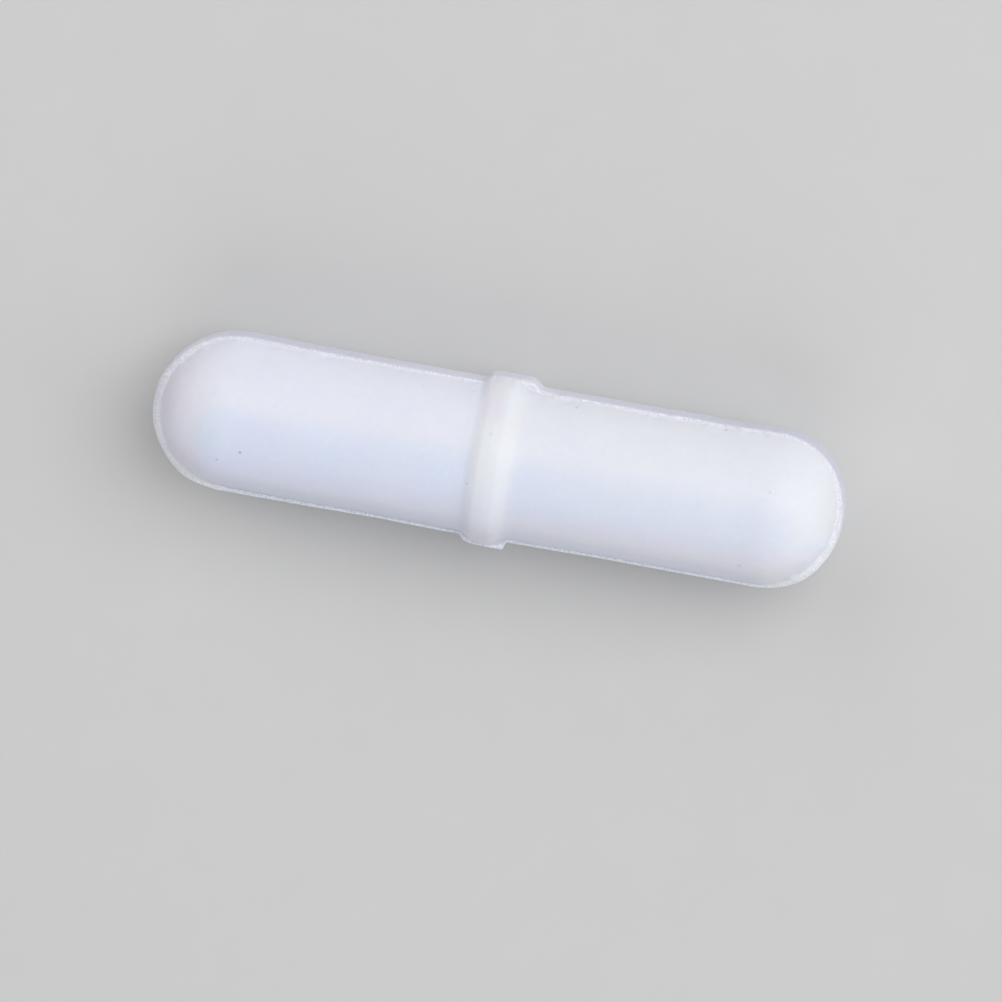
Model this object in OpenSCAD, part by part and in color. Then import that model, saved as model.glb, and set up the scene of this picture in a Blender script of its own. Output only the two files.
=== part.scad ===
// Magnetic stir bar with a pivot ring: a permanent magnet rod sealed in a moulded PTFE jacket.
//
// The jacket is pressed between two dies, each with a round groove. The dies meet in a level
// parting plane, and leave a narrow straight-sided band there, with a land above and below it.
//
// The bar lies along X. The origin is below its middle, on the surface that the ring stands on.

/* [Bar] */
// Length of the bar, tip to tip
bar_length = 35; // [24:0.5:60]
// Width of the bar across its parting band, away from the ring
bar_width = 8; // [6:0.1:12]
// Thickness of the jacket round the side of the magnet
jacket_wall = 0.83; // [0.5:0.01:1.5]

/* [Parting band] */
// Height of the band's straight side
band_height = 1.1; // [0.4:0.05:2]
// Width of the land, from the band's edge in to the moulded round
land_width = 0.15; // [0.05:0.01:0.4]

/* [Pivot ring] */
// Height of the ring above the side of the bar
ring_height = 0.41; // [0.2:0.01:0.8]
// Width of the ring along the bar, at half its height
ring_length = 2.1; // [1.6:0.05:5]
// Radius of the ring's shoulders, where its crest turns down
shoulder_radius = 0.6; // [0.3:0.05:0.7]
// Radius of the fillet at the ring's foot
foot_radius = 0.55; // [0.3:0.05:1]
// Radius of the shoulders that the band has at two opposite corners, where it is trimmed close
trimmed_shoulder = 0.2; // [0.1:0.02:0.5]
// Radius of the fillet at the foot of those two corners
trimmed_foot = 0.25; // [0.1:0.02:0.5]

/* [Magnet] */
// Chamfer at both ends of the magnet
magnet_chamfer = 0.5; // [0.2:0.05:1]
// Gap between the magnet and the jacket, all round
magnet_clearance = 0.02; // [0.01:0.01:0.1]

/* [Hidden] */
$fn = 96;
// Steps in each rounded corner of the ring
arc_steps = 8;

band_r = bar_width / 2;
barrel_r = band_r - land_width;
ring_r = barrel_r + ring_height;
// Where the straight barrel ends and the round end begins, from the middle of the bar
barrel_end = bar_length / 2 - band_r;

cavity_r = barrel_r - jacket_wall;
magnet_r = cavity_r - magnet_clearance;
// The chamfer starts level with the round end, so the wall there is as thick as on the barrel
magnet_half = barrel_end + magnet_chamfer;
cavity_half = magnet_half + magnet_clearance;

// The ring's sides, each as [shoulder radius, foot radius]
moulded_side = [shoulder_radius, foot_radius];
trimmed_side = [trimmed_shoulder, trimmed_foot];

// Points along an arc
function arc(centre, radius, from, to) = [
    for (step = [0 : arc_steps])
        let (angle = from + (to - from) * step / arc_steps)
            centre + radius * [cos(angle), sin(angle)]
];

// One side of the ring, from its crest over the shoulder and down to its foot on the barrel.
// The two arcs meet half way along, in a slope that is upright where the ring is tall for them.
function ring_side(side_r, radii) =
    let (
        shoulder = radii[0],
        foot = radii[1],
        reach = shoulder + foot,
        bend = ring_height < reach ? acos(1 - ring_height / reach) : 90,
        crest_end = ring_length / 2 - shoulder * sin(bend),
        foot_end = ring_length / 2 + foot * sin(bend)
    )
    concat(
        arc([crest_end, side_r + ring_height - shoulder], shoulder, 90, 90 - bend),
        arc([foot_end, side_r + foot], foot, 270 - bend, 270)
    );

// The same points on the other side of the middle, in the order that goes on along the bar
function mirrored(points) = [
    for (i = [len(points) - 1 : -1 : 0]) [-points[i].x, points[i].y]
];

// Half of the bar's outline, above its axis: the barrel, the ring's step and the two round ends
module half_outline(side_r, left, right) {
    polygon(concat(
        [[-barrel_end, 0], [-barrel_end, side_r]],
        mirrored(ring_side(side_r, left)),
        ring_side(side_r, right),
        [[barrel_end, side_r], [barrel_end, 0]]
    ));
    for (flip = [0, 1])
        mirror([flip, 0])
            translate([barrel_end, 0])
                intersection() {
                    circle(r = side_r);
                    square(bar_width);
                }
}

// Turns a half outline about the bar's axis
module turned_along_x() {
    rotate([0, 90, 0])
        rotate_extrude()
            rotate(90)
                mirror([0, 1])
                    children();
}

// The round that the dies' grooves mould, with the pivot ring
module moulded_round() {
    turned_along_x()
        half_outline(barrel_r, moulded_side, moulded_side);
}

// The band at the parting plane, with two opposite corners trimmed close to the ring
module parting_band() {
    linear_extrude(height = band_height, center = true)
        for (turn = [0, 180])
            rotate(turn)
                half_outline(band_r, trimmed_side, moulded_side);
}

// A rod along X with chamfered ends
module rod(radius, half_length, chamfer) {
    turned_along_x()
        polygon([
            [-half_length, 0],
            [-half_length, radius - chamfer],
            [-half_length + chamfer, radius],
            [half_length - chamfer, radius],
            [half_length, radius - chamfer],
            [half_length, 0]
        ]);
}

module ptfe_jacket() {
    color("white")
        translate([0, 0, ring_r])
            difference() {
                union() {
                    moulded_round();
                    parting_band();
                }
                rod(cavity_r, cavity_half, magnet_chamfer);
            }
}

module magnet_core() {
    color("slategray")
        translate([0, 0, ring_r])
            rod(magnet_r, magnet_half, magnet_chamfer);
}

ptfe_jacket();
magnet_core();
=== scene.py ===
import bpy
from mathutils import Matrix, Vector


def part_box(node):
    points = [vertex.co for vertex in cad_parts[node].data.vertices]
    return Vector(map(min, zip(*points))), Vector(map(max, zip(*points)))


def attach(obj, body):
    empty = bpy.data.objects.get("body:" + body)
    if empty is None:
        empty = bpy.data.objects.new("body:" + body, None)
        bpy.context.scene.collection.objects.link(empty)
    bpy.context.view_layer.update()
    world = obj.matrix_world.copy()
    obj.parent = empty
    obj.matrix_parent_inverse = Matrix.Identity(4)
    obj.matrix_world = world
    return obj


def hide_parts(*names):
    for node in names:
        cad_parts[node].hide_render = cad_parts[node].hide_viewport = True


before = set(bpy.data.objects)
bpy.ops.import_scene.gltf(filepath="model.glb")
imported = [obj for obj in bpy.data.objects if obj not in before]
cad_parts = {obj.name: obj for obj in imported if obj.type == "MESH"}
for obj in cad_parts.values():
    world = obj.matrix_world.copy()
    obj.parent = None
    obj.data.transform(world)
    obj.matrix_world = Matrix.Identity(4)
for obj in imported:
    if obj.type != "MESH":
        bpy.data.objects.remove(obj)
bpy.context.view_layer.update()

# A magnetic stir bar: a cast bar magnet sealed in a satin white fluoropolymer jacket, which has a raised
# pivot ring round its middle and a trimmed parting band all the way round. It lies on a pale bench with its
# right end to +X and its far side to +Y.
import math

import bmesh
import bpy
from mathutils import Matrix, Vector, noise

MM = 0.001

jacket_low, jacket_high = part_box("ptfe_jacket")
magnet_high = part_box("magnet_core")[1]

# The bar, as its source gives it
BAND_RADIUS = 4.00 * MM
BAND_HALF = 0.55 * MM            # half the parting band's height
BARREL_RADIUS = 3.85 * MM
RING_HEIGHT = 0.41 * MM
AXIS_HEIGHT = (jacket_low.z + jacket_high.z) / 2
BARREL_END = jacket_high.x - BAND_RADIUS


# ---------------------------------------------------------------- mesh tools

SAME_PLACE = 1e-7                # m, points closer than this are one


def sweep(bm, geom, steps, angle=0.0, centre=(0, 0, 0), axis=(1, 0, 0), step=(0, 0, 0)):
    """Carries points or edges round an axis, or along a straight step, and gives back where they end."""
    return bmesh.ops.spin(bm, geom=geom, cent=centre, axis=axis, angle=angle, dvec=step, steps=steps,
                          use_merge=False, use_normal_flip=False, use_duplicate=False)["geom_last"]


def merge_doubles(bm):
    bmesh.ops.remove_doubles(bm, verts=list(bm.verts), dist=SAME_PLACE)


def step_between(low, high, value):
    """A soft step from 0 at low to 1 at high, either way round."""
    share = min(max((value - low) / (high - low), 0.0), 1.0)
    return share * share * (3 - 2 * share)


# ---------------------------------------------------------------- jacket

CUP_STEPS, CORNER_STEPS, LEDGE_STEPS, WALL_STEPS = 32, 4, 4, 6     # along the section
END_STEPS, BARREL_STEPS, RING_STEPS = 90, 96, 96                   # round and along the bar
RING_ZONE = 2.4 * MM             # the ring lies within this of the middle
INNER_CORNER = 0.05 * MM         # radius of the corner between the barrel and the band's face
OUTER_CORNER = 0.06 * MM         # and of the one between the face and the band's wall
CAVITY_GAP, CAVITY_CHAMFER, CAVITY_STEPS = 0.02 * MM, 0.5 * MM, 96


def half_section(bm, x):
    """The edges of half a cross section at x, from the top over the parting band on +Y to the underside."""
    fillet_up = BAND_HALF + INNER_CORNER
    fillet_out = math.sqrt((BARREL_RADIUS + INNER_CORNER) ** 2 - fillet_up ** 2)
    cup_angle = math.pi / 2 - math.asin(fillet_up / (BARREL_RADIUS + INNER_CORNER))
    rim_out, rim_up = BAND_RADIUS - OUTER_CORNER, BAND_HALF - OUTER_CORNER

    def at(out, up):
        return Vector((x, out, AXIS_HEIGHT + up))

    tip = [bm.verts.new(at(0, BARREL_RADIUS))]
    tip = sweep(bm, tip, CUP_STEPS, -cup_angle, at(0, 0))
    tip = sweep(bm, tip, CORNER_STEPS, cup_angle, at(fillet_out, fillet_up))
    tip = sweep(bm, tip, LEDGE_STEPS, step=(0, (rim_out - fillet_out) / LEDGE_STEPS, 0))
    tip = sweep(bm, tip, CORNER_STEPS, -math.pi / 2, at(rim_out, rim_up))
    tip = sweep(bm, tip, WALL_STEPS, step=(0, 0, -2 * rim_up / WALL_STEPS))
    tip = sweep(bm, tip, CORNER_STEPS, -math.pi / 2, at(rim_out, -rim_up))
    tip = sweep(bm, tip, LEDGE_STEPS, step=(0, (fillet_out - rim_out) / LEDGE_STEPS, 0))
    tip = sweep(bm, tip, CORNER_STEPS, cup_angle, at(fillet_out, -fillet_up))
    sweep(bm, tip, CUP_STEPS, -cup_angle, at(0, 0))
    return list(bm.edges)


def section_edges(bm, x, whole=True):
    """The edges that lie in the cross section at x, all of them or only those of its +Y half."""
    def there(vert):
        return abs(vert.co.x - x) < SAME_PLACE and (whole or vert.co.y > -SAME_PLACE)
    return [edge for edge in bm.edges if all(there(vert) for vert in edge.verts)]


def jacket_skin(bm):
    """The jacket's outside as it leaves a plain mould: a barrel with round ends and the parting band."""
    up = Vector((0, 0, 1))
    edges = half_section(bm, BARREL_END)
    sweep(bm, edges, END_STEPS, -math.pi, Vector((BARREL_END, 0, 0)), up)
    merge_doubles(bm)
    x = BARREL_END
    for far_x, steps in ((RING_ZONE, BARREL_STEPS), (-RING_ZONE, RING_STEPS), (-BARREL_END, BARREL_STEPS)):
        sweep(bm, section_edges(bm, x), steps, step=((far_x - x) / steps, 0, 0))
        x = far_x
    sweep(bm, section_edges(bm, x, whole=False), END_STEPS, math.pi, Vector((x, 0, 0)), up)
    merge_doubles(bm)
    bmesh.ops.recalc_face_normals(bm, faces=list(bm.faces))


# How the ring rises along the bar. Each line is a share of its height, and the foot and top of its left slope
# and the foot and top of its right slope, along X in mm. The moulded ring is softer than the trimmed band's
# outline, and the far side has a fuller section of its own.
MOULDED_RING = ((0.41, -1.33, -0.61, 1.04, 0.14), (0.38, -1.80, -0.12, 1.65, -0.28))
FAR_RING = ((0.60, -1.34, -0.86, 1.16, 0.30), (0.40, -1.64, -0.30, 1.70, -0.20))
FAR_OUTLINE = (
    (0.66, -1.16, -0.91, 1.73, 1.06), (0.19, -1.46, -0.31, 1.73, 1.06), (0.21, -1.46, -0.31, 2.05, -0.15),
)
NEAR_OUTLINE = ((0.61, -1.42, -1.05, 1.055, 0.86), (0.40, -1.50, -0.45, 1.055, 0.86))
FULL_RING = 1.27                 # the ring's rise at its sides and underside, as a share of that on top
# Heights over the bar's axis: where the ring starts to grow fuller on its way down and where it is full, then
# where the far side's section starts, is whole, is still whole, and has ended
FULLER_FROM, FULLER_TO = 3.0 * MM, 0.9 * MM
FAR_FROM, FAR_WHOLE, FAR_WHOLE_LOW, FAR_END = 2.4 * MM, 0.9 * MM, -2.2 * MM, -3.6 * MM


def ring_rise(x, slopes):
    """How far the ring rises at x, by that table of slopes."""
    x /= MM
    return RING_HEIGHT * sum(
        share * step_between(foot_left, top_left, x) * step_between(foot_right, top_right, x)
        for share, foot_left, top_left, foot_right, top_right in slopes)


def add_ring(x, out, up, on_band):
    """Moves a skin point outwards by the pivot ring's rise. out is its distance to +Y or -Y, with its sign.

    on_band is how far the point belongs to the trimmed band, which has its own outline.
    """
    radius = math.hypot(out, up)
    fuller = step_between(FULLER_FROM, FULLER_TO, up)
    rise = ring_rise(x, MOULDED_RING) * (1 + (FULL_RING - 1) * fuller)
    if out > 0:
        far_share = step_between(FAR_FROM, FAR_WHOLE, up) * step_between(FAR_END, FAR_WHOLE_LOW, up)
        rise += far_share * (ring_rise(x, FAR_RING) * FULL_RING - rise)
    rise += on_band * (ring_rise(x, FAR_OUTLINE if out > 0 else NEAR_OUTLINE) - rise)
    above_band = step_between(BAND_HALF, 3 * BAND_HALF, abs(up))
    return out + rise * out / radius, up + rise * above_band * up / radius


# Places round the bar, in mm along the parting band from the far side's left end, clockwise seen from above.
SIDE, TURN = 27.0, 4.0 * math.pi


def far(x):
    return x + SIDE / 2


def right(turn):
    return SIDE + turn / 180 * TURN


def near(x):
    return SIDE + TURN + SIDE / 2 - x


def left(turn):
    return 2 * SIDE + TURN + turn / 180 * TURN


AROUND = 2 * (SIDE + TURN)

# The band's upper face at places round the bar: its width, and how high its inner side and its outer edge
# lie over the middle plane, in mm; how much painted shade darkens the corner behind it; and how much painted
# shade darkens the trimmed face, from 0, clean, over 1, shaded, towards 2, as dark as its wall
UPPER_FACE = (
    (far(-12.5), 0.17, 0.71, 0.60, 0.0, 1.0), (far(-8.0), 0.15, 0.70, 0.60, 0.0, 0.95),
    (far(-2.2), 0.13, 0.67, 0.60, 0.0, 0.75), (far(-0.9), 0.10, 0.64, 0.56, 0.0, 0.75),
    (far(0.3), 0.10, 0.64, 0.54, 0.0, 0.85), (far(0.9), 0.08, 0.62, 0.20, 0.0, 0.6),
    (far(1.8), 0.08, 0.62, 0.20, 0.0, 0.6), (far(2.6), 0.14, 0.68, 0.58, 0.0, 0.8),
    (far(8.0), 0.16, 0.70, 0.60, 0.0, 0.9), (far(12.5), 0.16, 0.70, 0.60, 0.0, 1.0),
    (right(20), 0.16, 0.74, 0.62, 0.0, 1.1), (right(45), 0.17, 0.88, 0.78, 0.0, 1.1),
    (right(70), 0.28, 1.06, 0.82, 0.0, 0.9), (right(90), 0.38, 1.22, 0.84, 0.0, 0.8),
    (right(105), 0.38, 1.28, 0.82, 0.0, 0.4), (right(120), 0.46, 1.32, 0.78, 0.0, 0.1),
    (right(138), 0.50, 1.26, 0.68, 0.0, 0.1), (right(155), 0.44, 1.02, 0.60, 0.0, 0.1),
    (right(172), 0.28, 0.74, 0.55, 0.2, 0.0),
    (near(12.0), 0.24, 0.54, 0.54, 0.3, 0.0), (near(1.3), 0.22, 0.54, 0.54, 0.3, 0.0),
    (near(0.0), 0.12, 0.54, 0.54, 0.4, 0.0), (near(-1.5), 0.23, 0.54, 0.54, 0.5, 0.0),
    (near(-12.0), 0.28, 0.54, 0.54, 0.5, 0.0),
    (left(12), 0.40, 0.70, 0.48, 0.35, 0.0), (left(30), 0.57, 0.92, 0.40, 0.1, 0.1),
    (left(45), 0.48, 0.94, 0.46, 0.1, 0.1), (left(62), 0.50, 0.96, 0.43, 0.1, 0.1),
    (left(75), 0.49, 0.96, 0.46, 0.05, 0.2), (left(100), 0.44, 0.95, 0.52, 0.05, 0.85),
    (left(125), 0.36, 0.87, 0.57, 0.0, 0.7), (left(150), 0.24, 0.78, 0.60, 0.0, 0.7),
    (left(172), 0.17, 0.71, 0.60, 0.0, 1.0),
)
# How far the outline stands outside the plain one at places round the bar, in mm
OUTLINE = (
    (far(-13.0), 0.11), (far(-12.0), 0.09), (far(-10.5), 0.05), (far(-9.0), 0.035), (far(-5.0), 0.0),
    (far(-2.5), -0.01), (far(2.5), -0.04), (far(5.0), -0.03), (far(7.0), -0.04), (far(9.0), -0.01),
    (far(11.0), -0.02), (far(13.0), 0.045), (right(10), 0.08), (right(30), 0.135), (right(45), 0.14),
    (right(60), 0.05), (right(75), -0.02), (right(90), -0.075), (right(105), -0.085), (right(120), -0.08),
    (right(135), 0.005), (right(150), 0.04), (right(170), 0.02), (near(12.0), 0.01), (near(9.0), -0.01),
    (near(6.0), -0.025), (near(1.5), 0.0), (near(-2.0), 0.0), (near(-6.0), -0.05), (near(-9.0), -0.02),
    (near(-12.0), -0.025), (left(10), -0.01), (left(30), 0.105), (left(45), 0.035), (left(60), 0.022),
    (left(75), 0.02), (left(90), -0.005), (left(105), 0.025), (left(120), -0.04), (left(135), -0.045),
    (left(150), -0.015), (left(170), 0.055),
)


def place_around(x, y, out_x, out_y):
    """Where round the bar a point at x and y lies. out_x and out_y give its outward direction."""
    if out_x > 0:
        return right(math.degrees(math.atan2(out_x, out_y)))
    if out_x < 0:
        return left(math.degrees(math.atan2(-out_x, -out_y)))
    return far(x / MM) if y > 0 else near(x / MM)


def read_round(table, place):
    """Values of a table at a place round the bar, easing from one entry to the next."""
    place %= AROUND
    for first, last in zip(table[-1:] + table, table + table[:1]):
        start, end = first[0], last[0]
        if start > end:
            start, end = (start - AROUND, end) if place <= end else (start, end + AROUND)
        if start <= place <= end:
            share = step_between(start, end, place)
            return [low + share * (high - low) for low, high in zip(first[1:], last[1:])]


# Unevenness as layers of smooth noise: how strong each is, its wavelength in mm and its seed
RAGGED = ((1.0, 0.45, 3.1), (0.5, 0.18, 7.7))
WANDERING = ((1.0, 2.2, 5.2),)
WAVINESS = ((0.008, 3.2, 1.7), (0.0015, 0.7, 4.4))       # of the whole skin, in mm
# How far the band follows them: its face's width, as a share, and in mm its face's outer edge, its torn inner
# edge and its outline
WANDERING_WIDTH, WANDERING_EDGE = 0.08, 0.02
RAGGED_EDGE, TORN_EDGE, RAGGED_OUTLINE = 0.045, 0.09, 0.008


def uneven(spot, layers):
    """The sum of the layers of smooth noise at a spot."""
    return sum(strength * noise.noise(Vector(spot) / (wave * MM) + Vector((seed, 2 * seed, 3 * seed)))
               for strength, wave, seed in layers)


LEDGE = BAND_RADIUS - math.sqrt(BARREL_RADIUS ** 2 - BAND_HALF ** 2)
FILLET_ANGLE = math.asin((BAND_HALF + INNER_CORNER) / (BARREL_RADIUS + INNER_CORNER))
FILLET_OUT = BARREL_RADIUS * math.cos(FILLET_ANGLE)
FILLET_UP = BARREL_RADIUS * math.sin(FILLET_ANGLE)
OFF_BARREL = 1.0005 * BARREL_RADIUS     # a point of the plain section that lies further out is the band's
ROUNDING = 1e-8                  # m
FOOT_SPREAD = math.radians(48)   # how far up the barrel gives way to the face's inner side
TEAR_SPREAD = math.radians(9)    # and to its torn edge
CROWN = 2.1                      # the face is level at its inner side and falls ever faster to its edge


def upper_half(reach, up, width, inner, outer, torn):
    """Where a point of the plain section's upper half goes, for an upper face of that width and heights.

    torn is how far the ragged inner edge runs in at this place, which moves only the skin right beside it.
    """
    def band_point(across, level):
        fallen = max(across, 0.0) ** CROWN
        return BAND_RADIUS - (width + torn) * (1 - across), level * (inner + (outer - inner) * fallen)

    if math.hypot(reach, up) > OFF_BARREL or up < FILLET_UP - ROUNDING:
        return band_point((reach - BAND_RADIUS + LEDGE) / LEDGE, up / BAND_HALF)
    across = (FILLET_OUT - BAND_RADIUS + LEDGE) / LEDGE
    foot_reach, foot_up = band_point(across, FILLET_UP / BAND_HALF)
    shift = torn * (1 - across)
    angle = math.atan2(up, reach)
    foot_angle = math.asin(foot_up / BARREL_RADIUS)
    near_foot = step_between(FILLET_ANGLE + FOOT_SPREAD, FILLET_ANGLE, angle)
    at_foot = step_between(FILLET_ANGLE + TEAR_SPREAD, FILLET_ANGLE, angle)
    angle += (foot_angle - FILLET_ANGLE) * near_foot
    inset = (foot_reach + shift - BARREL_RADIUS * math.cos(foot_angle)) * near_foot - shift * at_foot
    return BARREL_RADIUS * math.cos(angle) + inset, BARREL_RADIUS * math.sin(angle)


def band_share(across, up):
    """How far a point of the plain section is the band's: 0 on the barrel, 1 on its face's outer half."""
    on_face = step_between(BAND_RADIUS - LEDGE, BAND_RADIUS - LEDGE / 2, across)
    return on_face if abs(up) < BAND_HALF + INNER_CORNER else 0.0


ON_AXIS = 1e-9                   # m
# Out from the axis: where the mark of the wall starts and where it is whole
WALL_FROM, WALL_WHOLE = BAND_RADIUS - 0.9 * OUTER_CORNER, BAND_RADIUS - 0.1 * OUTER_CORNER
# Over the middle plane: where the painted shade in the corner over the band has ended, and where it is whole
CORNER_SHADE_END, CORNER_SHADE_WHOLE = FILLET_UP + 1.5 * MM, FILLET_UP + 0.3 * MM


def surface_marks(co):
    """How far a point of the plain skin is trimmed and how much painted shade darkens its corner above the
    band, each 0 to 1, and how much painted shade darkens it if trimmed.

    Trimmed is 0 on the barrel, a half on the band's upper and lower faces and 1 on its wall. The painted
    shade of the corner lies above the band, on the barrel.
    """
    x, y, up = co.x, co.y, co.z - AXIS_HEIGHT
    beyond = max(abs(x) - BARREL_END, 0.0)
    reach = math.hypot(beyond, y)
    if reach < ON_AXIS:
        return 0.0, 0.0, 0.0
    on_face = band_share(reach, up)
    on_wall = step_between(WALL_FROM, WALL_WHOLE, reach)
    around = place_around(x, y, math.copysign(beyond, x) / reach, y / reach)
    corner_shade, face_shade = read_round(UPPER_FACE, around)[-2:]
    shaded_corner = corner_shade * step_between(CORNER_SHADE_END, CORNER_SHADE_WHOLE, up) * (1 - on_face) if up > 0 else 0.0
    return 0.5 * on_face + 0.5 * on_wall * on_face, shaded_corner, face_shade


# Over and under the middle plane: where the uneven outline has died out, and where it is whole
OUTLINE_END, OUTLINE_WHOLE = 2.2 * MM, 0.8 * MM
# The outline is ragged only on the band: further out than the first and less high than the second
RAGGED_REACH, RAGGED_UP = 0.9 * BARREL_RADIUS, 1.1 * BAND_HALF


def shape_point(co):
    """Where a point of the plain skin ends up, with the uneven band, the pivot ring and the waviness."""
    x, y, up = co.x, co.y, co.z - AXIS_HEIGHT
    beyond = max(abs(x) - BARREL_END, 0.0)
    reach = math.hypot(beyond, y)
    if reach < ON_AXIS:
        out_x, out_y = 0.0, 0.0
    else:
        out_x, out_y = math.copysign(beyond, x) / reach, y / reach
        around = place_around(x, y, out_x, out_y)
        on_band = reach > RAGGED_REACH and abs(up) < RAGGED_UP
        rim = (x - out_x * reach + out_x * BAND_RADIUS, out_y * BAND_RADIUS, 0)
        ragged, wandering = uneven(rim, RAGGED), uneven(rim, WANDERING)
        if up > 0:
            width, inner, outer = read_round(UPPER_FACE, around)[:3]
            width *= 1 + WANDERING_WIDTH * wandering
            outer += WANDERING_EDGE * wandering + RAGGED_EDGE * ragged
            torn = TORN_EDGE * ragged
            reach, up = upper_half(reach, up, width * MM, inner * MM, outer * MM, torn * MM)
        outline = read_round(OUTLINE, around)[0] + RAGGED_OUTLINE * ragged * on_band
        reach += outline * step_between(OUTLINE_END, OUTLINE_WHOLE, abs(up)) * MM
        base = math.copysign(BARREL_END, x) if beyond > 0 else x
        x, y = base + out_x * reach, out_y * reach
    if abs(x) < RING_ZONE and math.hypot(y, up) > 0:
        y, up = add_ring(x, y, up, band_share(abs(co.y), co.z - AXIS_HEIGHT))
    skin = Vector((x, y, up))
    outwards = Vector((out_x * reach, out_y * reach, up)).normalized()
    return skin + outwards * uneven(skin, WAVINESS) * MM + Vector((0, 0, AXIS_HEIGHT))


def finished(name, bm, material):
    """Makes the mesh an object of that name with its material, smooth shaded."""
    mesh = bpy.data.meshes.new(name)
    bm.to_mesh(mesh)
    bm.free()
    mesh.polygons.foreach_set("use_smooth", [True] * len(mesh.polygons))
    mesh.materials.append(material)
    piece = bpy.data.objects.new(name, mesh)
    bpy.context.scene.collection.objects.link(piece)
    return piece


def cavity_skin(bm):
    """The sealed room for the magnet, a cylinder with chamfered ends, whose faces look into it."""
    radius, half = magnet_high.y + CAVITY_GAP, magnet_high.x + CAVITY_GAP
    rise = Vector((0, 0, AXIS_HEIGHT))
    corners = [(-half, 0), (-half, radius - CAVITY_CHAMFER), (-half + CAVITY_CHAMFER, radius),
               (half - CAVITY_CHAMFER, radius), (half, radius - CAVITY_CHAMFER), (half, 0)]
    tip = [bm.verts.new(Vector((corners[0][0], 0, corners[0][1])) + rise)]
    for (x, up), (next_x, next_up) in zip(corners, corners[1:]):
        tip = sweep(bm, tip, 1, step=(next_x - x, 0, next_up - up))
    bmesh.ops.spin(bm, geom=list(bm.edges), cent=rise, axis=(1, 0, 0), angle=2 * math.pi, steps=CAVITY_STEPS,
                   use_merge=True, use_normal_flip=False, use_duplicate=False)
    merge_doubles(bm)
    bmesh.ops.recalc_face_normals(bm, faces=list(bm.faces))
    bmesh.ops.reverse_faces(bm, faces=list(bm.faces))


def make_jacket(material):
    """The jacket's outside and cavity in one mesh, with its marks as attributes for the material."""
    bm = bmesh.new()
    jacket_skin(bm)
    marks = [bm.verts.layers.float.new(name) for name in ("trim", "corner_shade", "face_shade")]
    for vert in bm.verts:
        for mark, value in zip(marks, surface_marks(vert.co)):
            vert[mark] = value
        vert.co = shape_point(vert.co)
    room = bmesh.new()
    cavity_skin(room)
    room_mesh = bpy.data.meshes.new("cavity")
    room.to_mesh(room_mesh)
    room.free()
    bm.from_mesh(room_mesh)
    bpy.data.meshes.remove(room_mesh)
    return finished("jacket", bm, material)


# ---------------------------------------------------------------- materials

def wire(tree, socket, value):
    """Joins an output to the socket, or sets the socket's own value."""
    if isinstance(value, bpy.types.NodeSocket):
        tree.links.new(value, socket)
    else:
        socket.default_value = value


def add_node(tree, kind, values=None, **settings):
    """Adds a shader node, with its settings and the values or links of its inputs."""
    made = tree.nodes.new("ShaderNode" + kind)
    for name, value in settings.items():
        setattr(made, name, value)
    for key, value in (values or {}).items():
        wire(tree, made.inputs[key], value)
    return made


def calculate(tree, operation, first, second=0.0):
    return add_node(tree, "Math", {0: first, 1: second}, operation=operation).outputs[0]


def times(tree, first, second):
    return calculate(tree, "MULTIPLY", first, second)


def ramp(tree, value, low, high, at_low, at_high):
    """Goes evenly from at_low to at_high as the value goes from low to high."""
    return add_node(tree, "MapRange", {"Value": value, "From Min": low, "From Max": high, "To Min": at_low,
                                       "To Max": at_high}).outputs["Result"]


def soft_step(tree, value, low, high):
    """A soft step from 0 at low to 1 at high, either way round."""
    return add_node(tree, "MapRange", {"Value": value, "From Min": low, "From Max": high},
                    interpolation_type="SMOOTHSTEP").outputs["Result"]


def step_mm(tree, place, low, high):
    """A soft step along an axis, from 0 at low to 1 at high, in mm."""
    return soft_step(tree, place, low * MM, high * MM)


def ramp_mm(tree, place, low, high, at_low, at_high):
    """Goes evenly from at_low to at_high as a place along an axis goes from low to high, in mm."""
    return ramp(tree, place, low * MM, high * MM, at_low, at_high)


def window_mm(tree, place, start, whole_from, whole_to, end):
    """A soft window along an axis, in mm: 0 before start, 1 from whole_from to whole_to and 0 after end."""
    return times(tree, step_mm(tree, place, start, whole_from), step_mm(tree, place, end, whole_to))


MIX_SHARE, MIX_FIRST, MIX_SECOND, MIX_RESULT = 0, 6, 7, 2        # a colour Mix node's sockets


def blend_colour(tree, share, first, second, blend_type="MIX"):
    """Blends two colours, which are outputs or plain triples of red, green and blue."""
    made = add_node(tree, "Mix", {MIX_SHARE: share}, data_type="RGBA", blend_type=blend_type)
    for key, value in ((MIX_FIRST, first), (MIX_SECOND, second)):
        wire(tree, made.inputs[key], (*value, 1) if isinstance(value, tuple) else value)
    return made.outputs[MIX_RESULT]


def attribute(tree, name):
    return add_node(tree, "Attribute", attribute_name=name).outputs["Fac"]


def new_material(name, **constants):
    """A material, its node tree and its shader, with those constants set on the shader's own sockets."""
    material = bpy.data.materials.new(name)
    material.use_nodes = True
    tree = material.node_tree
    shader = tree.nodes["Principled BSDF"]
    for key, value in constants.items():
        shader.inputs[key.replace("_", " ")].default_value = value
    return material, tree, shader


def effect_group(name, inputs, outputs):
    """An empty node group with those sockets, and its two ends."""
    tree = bpy.data.node_groups.new(name, "ShaderNodeTree")
    for in_out, sockets in (("INPUT", inputs), ("OUTPUT", outputs)):
        for label, kind in sockets:
            tree.interface.new_socket(label, in_out=in_out, socket_type="NodeSocket" + kind)
    return tree, tree.nodes.new("NodeGroupInput"), tree.nodes.new("NodeGroupOutput")


def use_group(tree, group, values):
    made = tree.nodes.new("ShaderNodeGroup")
    made.node_tree = group
    for key, value in values.items():
        wire(tree, made.inputs[key], value)
    return made.outputs[0]


def object_point(tree):
    return add_node(tree, "TexCoord").outputs["Object"]


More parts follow.
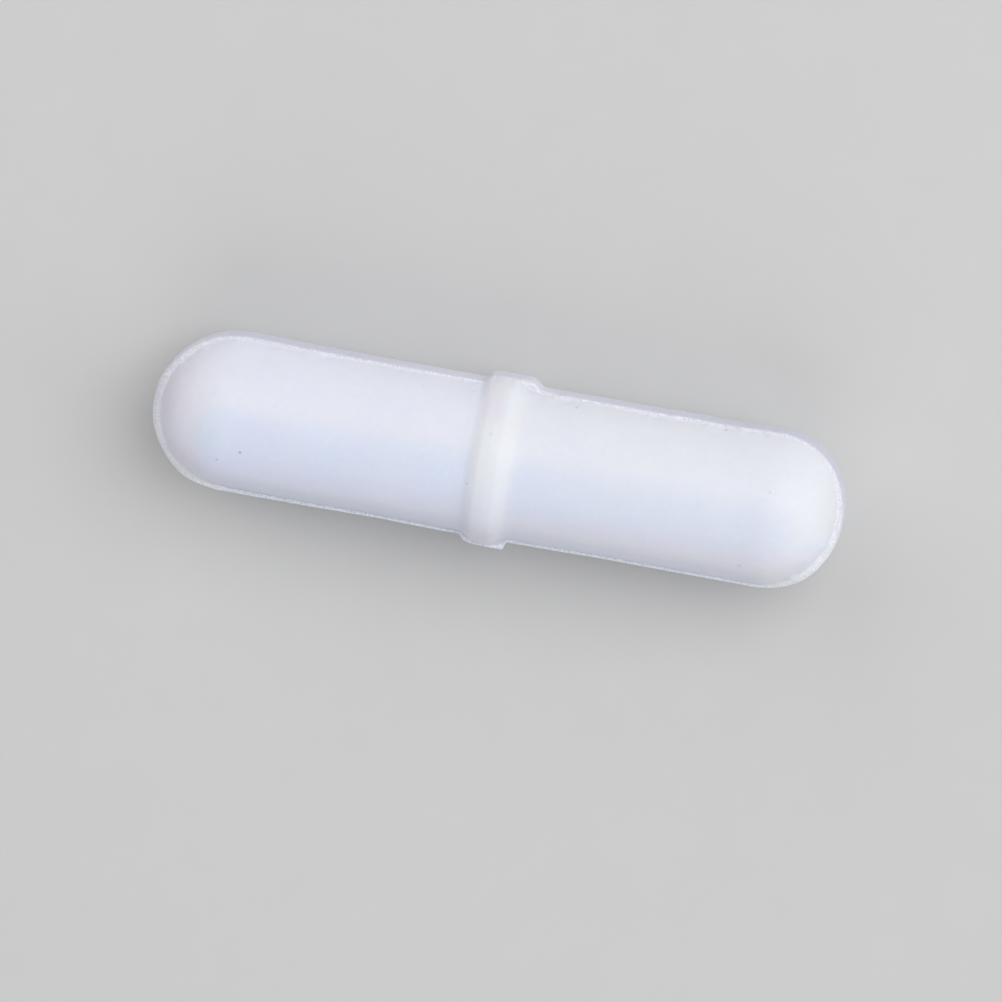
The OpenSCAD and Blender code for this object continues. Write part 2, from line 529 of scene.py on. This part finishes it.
def noise_at(tree, wave, detail, seed=0.0):
    """Noise from 0 to 1 with that wavelength in mm."""
    point = object_point(tree)
    if seed:
        point = add_node(tree, "Mapping", {"Vector": point, "Location": (seed, seed, seed)}).outputs["Vector"]
    return add_node(tree, "TexNoise", {"Vector": point, "Scale": 1 / (wave * MM), "Detail": detail,
                                       "Roughness": 0.55}).outputs[0]


NOISE_SPREAD = 4.0               # noise keeps near its middle, and this brings it to about 1 either way


def make_drift():
    """A change of value over the surface: 1 plus or minus an amount."""
    tree, start, end = effect_group("value_drift", (("Scale", "Float"), ("Amount", "Float")),
                                    (("Factor", "Float"),))
    field = add_node(tree, "TexNoise", {"Vector": object_point(tree), "Scale": start.outputs["Scale"],
                                        "Detail": 3.0, "Roughness": 0.6}).outputs[0]
    signed = times(tree, calculate(tree, "SUBTRACT", field, 0.5), NOISE_SPREAD)
    wire(tree, end.inputs[0], calculate(tree, "ADD", times(tree, signed, start.outputs["Amount"]), 1.0))
    return tree


def make_hue_drift():
    """A change of hue over the surface: each of red, green and blue goes its own way round 1."""
    tree, start, end = effect_group("hue_drift", (("Scale", "Float"), ("Amount", "Float")),
                                    (("Factor", "Color"),))
    field = add_node(tree, "TexNoise", {"Vector": object_point(tree), "Scale": start.outputs["Scale"],
                                        "Detail": 1.0, "Roughness": 0.5}).outputs["Color"]
    signed = add_node(tree, "VectorMath", {0: field, 1: (0.5, 0.5, 0.5)}, operation="SUBTRACT").outputs[0]
    scaled = add_node(tree, "VectorMath", {0: signed, "Scale": start.outputs["Amount"]},
                      operation="SCALE").outputs[0]
    wire(tree, end.inputs[0],
         add_node(tree, "VectorMath", {0: scaled, 1: (1, 1, 1)}, operation="ADD").outputs[0])
    return tree


def drifting(tree, group, wave, amount):
    """The factor of a drift group with that wavelength in mm."""
    return use_group(tree, group, {"Scale": 1 / (wave * MM), "Amount": amount})


def make_grain():
    """The height, in millimetres, of a fine uneven surface."""
    tree, start, end = effect_group("fine_grain", (("Scale", "Float"), ("Height", "Float")),
                                    (("Height", "Float"),))
    field = add_node(tree, "TexNoise", {"Vector": object_point(tree), "Scale": start.outputs["Scale"],
                                        "Detail": 4.0, "Roughness": 0.5}).outputs[0]
    wire(tree, end.inputs[0], times(tree, field, start.outputs["Height"]))
    return tree


def grainy(tree, group, wave, height):
    """The height of a grain group with that wavelength and height in mm."""
    return use_group(tree, group, {"Scale": 1 / (wave * MM), "Height": height})


def uneven_surface(tree, shader, height):
    """Gives the shader a bump of that height in mm."""
    bump = add_node(tree, "Bump", {"Strength": 1.0, "Distance": MM, "Height": height})
    wire(tree, shader.inputs["Normal"], bump.outputs["Normal"])


SPOT_EDGE = (1.6, 0.4)          # radii out, where the spot starts and is whole


def make_grain_and_shade_spot():
    """Stains a colour round a point: for a small foreign grain under the skin, and for a soft patch of
    painted shade.
    """
    tree, start, end = effect_group(
        "grain_and_shade_spot", (("Colour", "Color"), ("Stain_and_shade", "Color"), ("Centre", "Vector"), ("Radius", "Float"),
                      ("Depth", "Float")), (("Colour", "Color"),))
    gap = add_node(tree, "VectorMath", {0: object_point(tree), 1: start.outputs["Centre"]},
                   operation="DISTANCE").outputs["Value"]
    radii = calculate(tree, "DIVIDE", gap, start.outputs["Radius"])
    mask = times(tree, soft_step(tree, radii, *SPOT_EDGE), start.outputs["Depth"])
    wire(tree, end.inputs[0], blend_colour(tree, mask, start.outputs["Colour"], start.outputs["Stain_and_shade"]))
    return tree


# Colours, each with where along X or Y it lies, in mm: a pair is a step, from where it starts to where it is
# whole, and four are a window, which starts, is whole, is still whole and has ended.
#
# The white where the jacket is solid, towards the far side and the near side, and the same at its left end
WHITE, NEAR_WHITE, NEARER_Y = (0.772, 0.787, 0.836), (0.754, 0.787, 0.862), (0.4, -0.8)
LEFT_WHITE, NEAR_LEFT_WHITE, LEFT_END_X = (0.785, 0.775, 0.856), (0.780, 0.785, 0.874), (-14.0, -15.6)
# The white over the magnet at the left and right, and a deeper blue painted on the upper side for cool light
# from above, which weakens from left to right
THIN_WHITE_LEFT, THIN_WHITE_RIGHT, RIGHT_HALF_X = (0.752, 0.768, 0.857), (0.758, 0.774, 0.838), (-6.0, 6.0)
TOP_LIGHT_BLUE, BLUE_LEFT, BLUE_RIGHT, BLUE_X = (0.690, 0.746, 0.882), 1.0, 0.62, (-12.0, 12.0)
MAGNET_X, BESIDE_RING_X = (-16.2, -13.8, 14.6, 16.6), (0.75, 1.35)
# The direction in which the painted cool light from above tints most, along Y at the left and right and along
# Z, and how nearly a place has to face that way
LEAN_LEFT, LEAN_RIGHT, UPRIGHT, LEAN_X = -0.23, -0.12, 0.983, (-10.0, 10.0)
TOP_LIGHT_FACING = (0.80, 1.0)
# What the white is multiplied by: a slight pink tint towards the near side; then painted shade low on the
# near side at the left and right and on the ring, on the ring's left flank, and at the left tip, where less
# light falls
NEAR_CAST, NEAR_CAST_Y = (1.010, 0.984, 1.0), (-2.9, -2.1, -1.7, -0.7)
LOW_LEFT_SHADE, LOW_RIGHT_SHADE, LOW_RIGHT_X = (0.911, 0.933, 0.982), (0.951, 0.963, 1.028), (-2.0, 2.0)
LOW_RING_SHADE, OFF_LOW_RING_X = (0.985, 0.945, 0.948), (0.45, 1.2)
LOW_Y, OFF_ENDS_X = (-2.3, -3.1), (14.8, 13.0)
RING_FLANK_SHADE, RING_FLANK_X, RING_FLANK_Y = (0.968, 0.932, 0.955), (-1.2, -0.8, -0.2, 0.4), (2.2, 3.1)
TIP_SHADE, TIP_X, TIP_Y = (0.95, 0.94, 0.95), (-16.0, -16.8), (-1.0, 0.8)
# The trimmed band: clean; brighter and bluer low on the near side, which is painted light; and darker on its
# faces and on its wall where painted shade lies, most along the far side
CLEAN_TRIM, NEAR_LIT_TRIM = (0.826, 0.842, 0.893), (0.816, 0.858, 0.930)
SHADED_FACE, SHADED_WALL = (0.711, 0.715, 0.795), (0.630, 0.638, 0.742)
CORNER_SHADE_COLOUR, CORNER_SHADE_SHARE = (0.48, 0.50, 0.58), 0.45
# Over how much of the trim mark its colour, its chips and speckle, its wall's look and its roughness come in
TRIM_COLOUR, TRIM_CHIPPED, TRIM_WALL, TRIM_ROUGH = (0.1, 0.45), (0.05, 0.5), (0.6, 1.0), (0.1, 0.8)
# Chips in the trimmed faces: colour, how strongly it shows, wavelength in mm, and the noise that places them
CHIP_COLOUR, CHIP_SHARE, CHIP_WAVE, CHIP_NOISE = (0.62, 0.63, 0.70), 0.35, 0.16, (0.52, 0.72)
PLAIN_WALL = 0.85                # how much of the speckle the band's wall does without
# Drifts over the surface: wavelength in mm and amount
SLOW_DRIFT, FINE_DRIFT, HUE_DRIFT, BLUE_DRIFT = (2.5, 0.012), (0.35, 0.018), (1.6, 0.03), (4.0, 0.25)
TRIM_SPECKLE, ROUGHNESS_DRIFT, MAGNET_DRIFT = (0.11, 0.24), (1.2, 0.08), (3.0, 0.10)
BARREL_ROUGHNESS, TRIM_ROUGHNESS, MAGNET_ROUGHNESS, BENCH_ROUGHNESS = 0.42, 0.62, 0.48, 0.75
# Fine relief: wavelength and height in mm
GRAIN, TORN, MAGNET_GRAIN = (0.14, 0.0012), (0.22, 0.05), (0.25, 0.03)
MAGNET_DARK, MAGNET_LIGHT, MAGNET_MOTTLE = (0.23, 0.225, 0.22), (0.36, 0.35, 0.335), 0.9      # the last in mm
BENCH_DARK, BENCH_LIGHT, BENCH_MOTTLE = (0.60, 0.60, 0.60), (0.62, 0.62, 0.62), 3.0

GREY_STAIN_AND_SHADE, GREEN_STAIN, BROWN_STAIN = (0.16, 0.15, 0.20), (0.34, 0.40, 0.22), (0.42, 0.34, 0.34)
# Grains under the skin, and soft patches of painted shade on the ring's flanks: along X in mm, round the bar
# from straight up towards +Y in degrees, radius in mm, how strongly they show, colour
GRAIN_AND_SHADE_SPOTS = (
    (-12.50, -15.2, 0.060, 0.58, GREY_STAIN_AND_SHADE), (-13.61, -25.3, 0.058, 0.32, GREY_STAIN_AND_SHADE),
    (-1.64, 67.5, 0.055, 0.50, GREY_STAIN_AND_SHADE), (-4.20, 64.0, 0.070, 0.26, BROWN_STAIN),
    (3.52, 70.2, 0.080, 0.48, GREEN_STAIN), (11.00, 77.0, 0.065, 0.55, GREY_STAIN_AND_SHADE),
    (-1.10, -6.8, 0.070, 0.22, GREY_STAIN_AND_SHADE), (13.78, 26.2, 0.070, 0.28, BROWN_STAIN),
    (14.08, 25.4, 0.055, 0.20, BROWN_STAIN), (12.84, -38.3, 0.100, 0.17, GREY_STAIN_AND_SHADE),
    # The second entry on this line and both on the next are soft patches of painted shade on the ring's
    # flanks
    (-0.33, 31.2, 0.080, 0.09, GREY_STAIN_AND_SHADE), (1.05, 84.0, 0.500, 0.10, GREY_STAIN_AND_SHADE),
    (0.05, -56.0, 0.450, 0.07, GREY_STAIN_AND_SHADE), (1.05, -68.0, 0.350, 0.07, GREY_STAIN_AND_SHADE),
)


def magnet_under(tree, x):
    """Where the jacket has the magnet right beneath it: 0 at the solid ends and under the ring, 1 between."""
    beside_ring = step_mm(tree, calculate(tree, "ABSOLUTE", x), *BESIDE_RING_X)
    return times(tree, window_mm(tree, x, *MAGNET_X), beside_ring)


def top_light_side(tree, x, y, z):
    """The upper side of the bar, tinted by painted cool light from above: 1 there, 0 some 37 degrees to
    either side.

    It leans from straight up towards -Y, more so at the left.
    """
    across = times(tree, y, ramp_mm(tree, x, *LEAN_X, LEAN_LEFT, LEAN_RIGHT))
    up = times(tree, calculate(tree, "SUBTRACT", z, AXIS_HEIGHT), UPRIGHT)
    facing = calculate(tree, "DIVIDE", calculate(tree, "ADD", across, up), BARREL_RADIUS)
    return soft_step(tree, facing, *TOP_LIGHT_FACING)


def jacket_white(tree, x, y, z, drift):
    """The jacket's own white, with the magnet's cool tint where it lies close beneath, deepened on the upper
    side by painted cool light from above.
    """
    along = ramp_mm(tree, x, *BLUE_X, BLUE_LEFT, BLUE_RIGHT)
    strength = times(tree, along, drifting(tree, drift, *BLUE_DRIFT))
    # Painted light: a deeper blue on the upper side stands for cool light from above
    top_light_blueness = times(tree, top_light_side(tree, x, y, z), strength)
    over_magnet = blend_colour(tree, step_mm(tree, x, *RIGHT_HALF_X), THIN_WHITE_LEFT, THIN_WHITE_RIGHT)
    over_magnet = blend_colour(tree, top_light_blueness, over_magnet, TOP_LIGHT_BLUE)
    nearer = step_mm(tree, y, *NEARER_Y)
    left_white = blend_colour(tree, nearer, LEFT_WHITE, NEAR_LEFT_WHITE)
    white = blend_colour(tree, nearer, WHITE, NEAR_WHITE)
    white = blend_colour(tree, step_mm(tree, x, *LEFT_END_X), white, left_white)
    return blend_colour(tree, magnet_under(tree, x), white, over_magnet)


def with_tint_and_painted_shade(tree, colour, x, y, low_side):
    """The white with a slight pink tint towards the near side, and painted shade low on the near side, on the
    ring's left flank and at the left tip.
    """
    # Painted shade low on the near side, darker at the left, where little light falls
    low_shade = blend_colour(tree, step_mm(tree, x, *LOW_RIGHT_X), LOW_LEFT_SHADE, LOW_RIGHT_SHADE)
    off_ring = step_mm(tree, calculate(tree, "ABSOLUTE", x), *OFF_LOW_RING_X)
    low_shade = blend_colour(tree, off_ring, LOW_RING_SHADE, low_shade)
    # Painted shade on the ring's left flank, which faces away from the light
    shaded_ring_flank = times(tree, window_mm(tree, x, *RING_FLANK_X), step_mm(tree, y, *RING_FLANK_Y))
    # Painted shade on the far side of the left tip
    shaded_left_tip = times(tree, step_mm(tree, x, *TIP_X), step_mm(tree, y, *TIP_Y))
    for share, cast in ((window_mm(tree, y, *NEAR_CAST_Y), NEAR_CAST), (low_side, low_shade),
                        (shaded_ring_flank, RING_FLANK_SHADE), (shaded_left_tip, TIP_SHADE)):
        colour = blend_colour(tree, share, colour, cast, "MULTIPLY")
    return colour


def with_grain_and_shade_spots(tree, colour, grain_and_shade_spot):
    for along, turn, radius, depth, spot_colour in GRAIN_AND_SHADE_SPOTS:
        reach = BARREL_RADIUS + ring_rise(along * MM, MOULDED_RING)
        turn = math.radians(turn)
        centre = (along * MM, reach * math.sin(turn), AXIS_HEIGHT + reach * math.cos(turn))
        colour = use_group(tree, grain_and_shade_spot, {"Colour": colour, "Stain_and_shade": (*spot_colour, 1), "Centre": centre,
                                             "Radius": radius * MM, "Depth": depth})
    return colour


def jacket_material(drift, hue_drift, grain, grain_and_shade_spot):
    material, tree, shader = new_material(
        "satin_white_jacket", IOR=1.36, Subsurface_Weight=0.3, Subsurface_Scale=0.25 * MM,
        Subsurface_Radius=(1.0, 0.95, 0.9))
    x, y, z = add_node(tree, "SeparateXYZ", {0: object_point(tree)}).outputs
    trim, corner_shade, face_shade = [attribute(tree, name) for name in ("trim", "corner_shade", "face_shade")]
    off_ends = step_mm(tree, calculate(tree, "ABSOLUTE", x), *OFF_ENDS_X)
    low_side = times(tree, step_mm(tree, y, *LOW_Y), off_ends)

    colour = with_tint_and_painted_shade(tree, jacket_white(tree, x, y, z, drift), x, y, low_side)
    # Painted shade in the corner just above the band, mostly on the near side
    colour = blend_colour(tree, times(tree, corner_shade, CORNER_SHADE_SHARE), colour, CORNER_SHADE_COLOUR)
    # Painted shade on the trimmed faces, as dark as the wall where the face table's mark passes 1
    wall_like = calculate(tree, "MAXIMUM", soft_step(tree, trim, *TRIM_WALL),
                          calculate(tree, "SUBTRACT", face_shade, 1.0))
    # Painted light: low on the near side the trimmed ledge is painted brighter and bluer
    trimmed = blend_colour(tree, face_shade, blend_colour(tree, low_side, CLEAN_TRIM, NEAR_LIT_TRIM),
                           blend_colour(tree, wall_like, SHADED_FACE, SHADED_WALL))
    colour = blend_colour(tree, soft_step(tree, trim, *TRIM_COLOUR), colour, trimmed)

    on_trim = soft_step(tree, trim, *TRIM_CHIPPED)
    speckled = calculate(tree, "SUBTRACT", on_trim, times(tree, wall_like, PLAIN_WALL))
    for share, group, values in ((1.0, drift, SLOW_DRIFT), (1.0, drift, FINE_DRIFT),
                                 (1.0, hue_drift, HUE_DRIFT), (speckled, drift, TRIM_SPECKLE)):
        colour = blend_colour(tree, share, colour, drifting(tree, group, *values), "MULTIPLY")
    chips = soft_step(tree, noise_at(tree, CHIP_WAVE, detail=3.0, seed=0.7), *CHIP_NOISE)
    colour = blend_colour(tree, times(tree, times(tree, chips, on_trim), CHIP_SHARE), colour, CHIP_COLOUR)
    wire(tree, shader.inputs["Base Color"], with_grain_and_shade_spots(tree, colour, grain_and_shade_spot))

    roughness = ramp(tree, trim, *TRIM_ROUGH, BARREL_ROUGHNESS, TRIM_ROUGHNESS)
    wire(tree, shader.inputs["Roughness"], times(tree, roughness, drifting(tree, drift, *ROUGHNESS_DRIFT)))
    torn_wave, torn_height = TORN
    torn = times(tree, noise_at(tree, torn_wave, detail=3.0, seed=0.3), times(tree, trim, torn_height))
    uneven_surface(tree, shader, calculate(tree, "ADD", grainy(tree, grain, *GRAIN), torn))
    return material


def magnet_material(drift, grain):
    material, tree, shader = new_material("cast_magnet_grey", Metallic=1.0)
    colour = blend_colour(tree, noise_at(tree, MAGNET_MOTTLE, detail=4.0), MAGNET_DARK, MAGNET_LIGHT)
    factor = drifting(tree, drift, *MAGNET_DRIFT)
    wire(tree, shader.inputs["Base Color"], blend_colour(tree, 1.0, colour, factor, "MULTIPLY"))
    wire(tree, shader.inputs["Roughness"], times(tree, factor, MAGNET_ROUGHNESS))
    uneven_surface(tree, shader, grainy(tree, grain, *MAGNET_GRAIN))
    return material


def seen_straight(tree):
    """1 for what the camera sees, directly or in gloss or glass, and 0 for the light that bounces on."""
    rays = add_node(tree, "LightPath").outputs
    straight = calculate(tree, "MAXIMUM", rays["Is Camera Ray"], rays["Is Glossy Ray"])
    return calculate(tree, "MAXIMUM", straight, rays["Is Transmission Ray"])


def bench_material():
    material, tree, shader = new_material("pale_bench", Roughness=BENCH_ROUGHNESS)
    colour = blend_colour(tree, noise_at(tree, BENCH_MOTTLE, detail=4.0), BENCH_DARK, BENCH_LIGHT)
    wire(tree, shader.inputs["Base Color"], colour)
    return material


# ---------------------------------------------------------------- bench, light and camera

BENCH_HALF = 0.75                # m, half its side


def make_bench():
    bm = bmesh.new()
    bmesh.ops.create_grid(bm, x_segments=1, y_segments=1, size=BENCH_HALF)
    bench = finished("bench", bm, bench_material())


ROOM_LIGHT = 0.30                # strength of the even light from all round
LAMP_DISTANCE = 0.6              # m
# Soft round lamps: name, direction from the bar, width in m, watts
LAMPS = (
    ("key", (0.35, 0.45, 0.8), 0.45, 1.573), ("right_side", (0.95, 0.2, 0.4), 0.7, 1.344),
    ("far_left", (-0.6, 0.6, 0.5), 0.7, 1.138), ("near_side", (0.1, -0.8, 0.6), 0.7, 0.988),
)


def soft_lamp(name, direction, size, power):
    lamp = bpy.data.lights.new(name, "AREA")
    lamp.shape, lamp.size, lamp.energy = "DISK", size, power
    thing = bpy.data.objects.new(name, lamp)
    bpy.context.scene.collection.objects.link(thing)
    thing.visible_camera = False
    thing.location = Vector(direction).normalized() * LAMP_DISTANCE
    thing.rotation_mode = "QUATERNION"
    thing.rotation_quaternion = (-thing.location).to_track_quat("-Z", "Y")


def light_world(strength):
    """An even white room, which the camera sees as plain white."""
    world = bpy.data.worlds.new("studio")
    world.use_nodes = True
    tree = world.node_tree
    background = tree.nodes["Background"]
    background.inputs["Color"].default_value = (1, 1, 1, 1)
    wire(tree, background.inputs["Strength"], ramp(tree, seen_straight(tree), 0.0, 1.0, strength, 1.0))
    bpy.context.scene.world = world


IMAGE_SIDE = 1002                # pixels, square
SENSOR, LENS = 36.0, 400.0       # mm
PIXEL = 0.04980 * MM             # of the bar, at its distance
TILT_RIGHT, TILT_FAR = math.radians(4.5), math.radians(15.0)     # of the camera, from straight above
BAR_TURN = math.radians(10.17)   # the bar's right end lies this far below the level
BAR_PIXEL = (499.1, 459.52)      # the bar's middle in the image, from its left and top edges
CLIP_START, CLIP_END = 0.01, 10  # m


def make_camera():
    back = Vector((math.tan(TILT_RIGHT), math.tan(TILT_FAR), 1)).normalized()
    along = Vector((1, 0, 0))
    along = (along - back * along.dot(back)).normalized()
    across = back.cross(along)
    rightward = along * math.cos(BAR_TURN) + across * math.sin(BAR_TURN)
    upward = back.cross(rightward)
    middle = Vector((0, 0, AXIS_HEIGHT))
    centre = IMAGE_SIDE / 2
    middle += rightward * (centre - BAR_PIXEL[0]) * PIXEL + upward * (BAR_PIXEL[1] - centre) * PIXEL
    camera = bpy.data.cameras.new("camera")
    camera.lens, camera.sensor_width = LENS, SENSOR
    thing = bpy.data.objects.new("camera", camera)
    bpy.context.scene.collection.objects.link(thing)
    distance = IMAGE_SIDE * PIXEL * LENS / SENSOR
    turned = Matrix((rightward, upward, back)).transposed().to_4x4()
    thing.matrix_world = Matrix.Translation(middle + back * distance) @ turned
    camera.clip_start, camera.clip_end = CLIP_START, CLIP_END
    bpy.context.scene.camera = thing


make_camera()
bpy.context.scene.view_settings.view_transform = "Standard"
light_world(ROOM_LIGHT)
for lamp_values in LAMPS:
    soft_lamp(*lamp_values)
make_bench()

value_drift, fine_grain = make_drift(), make_grain()
jacket = make_jacket(jacket_material(value_drift, make_hue_drift(), fine_grain, make_grain_and_shade_spot()))
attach(jacket, "root")
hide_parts("ptfe_jacket")
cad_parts["magnet_core"].material_slots[0].material = magnet_material(value_drift, fine_grain)
